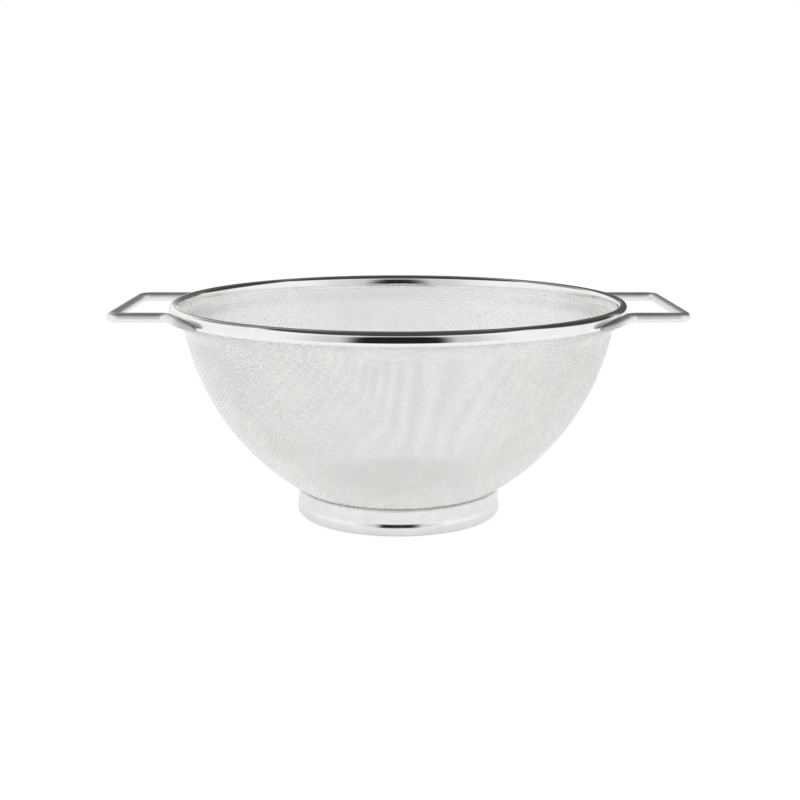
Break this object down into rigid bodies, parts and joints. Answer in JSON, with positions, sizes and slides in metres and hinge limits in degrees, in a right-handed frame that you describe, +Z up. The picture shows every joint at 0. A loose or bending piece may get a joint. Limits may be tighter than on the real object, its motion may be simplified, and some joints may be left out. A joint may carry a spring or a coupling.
{
  "type": "colander",
  "caption": "Fine wire cloth colander: a round pressed bowl in a rolled steel rim, on a sheet ring foot, with a bent wire handle on each side.",
  "frame": {"origin": "centre of the foot's base, on the surface that the colander stands on", "axes": "+Z up through the bowl's axis, X through the two handles, -Y towards the viewer in the picture"},
  "size_m": [0.2928, 0.24, 0.1146],
  "materials": {
    "woven_cloth": "bright woven stainless wire cloth",
    "rim_steel": "mirror-polished stainless steel",
    "hoop_steel": "drawn stainless wire",
    "foot_steel": "mirror-polished stainless steel",
    "handle_steel": "polished stainless wire",
    "weld_steel": "bare weld metal"
  },
  "bodies": {
    "root": {"mesh_bowl": "woven_cloth", "rim_bead": "rim_steel", "rim_hoop_wire": "hoop_steel", "foot_ring": "foot_steel", "left_handle": "handle_steel", "right_handle": "handle_steel", "left_front_weld": "weld_steel", "left_rear_weld": "weld_steel", "right_front_weld": "weld_steel", "right_rear_weld": "weld_steel"}
  },
  "joints": []
}
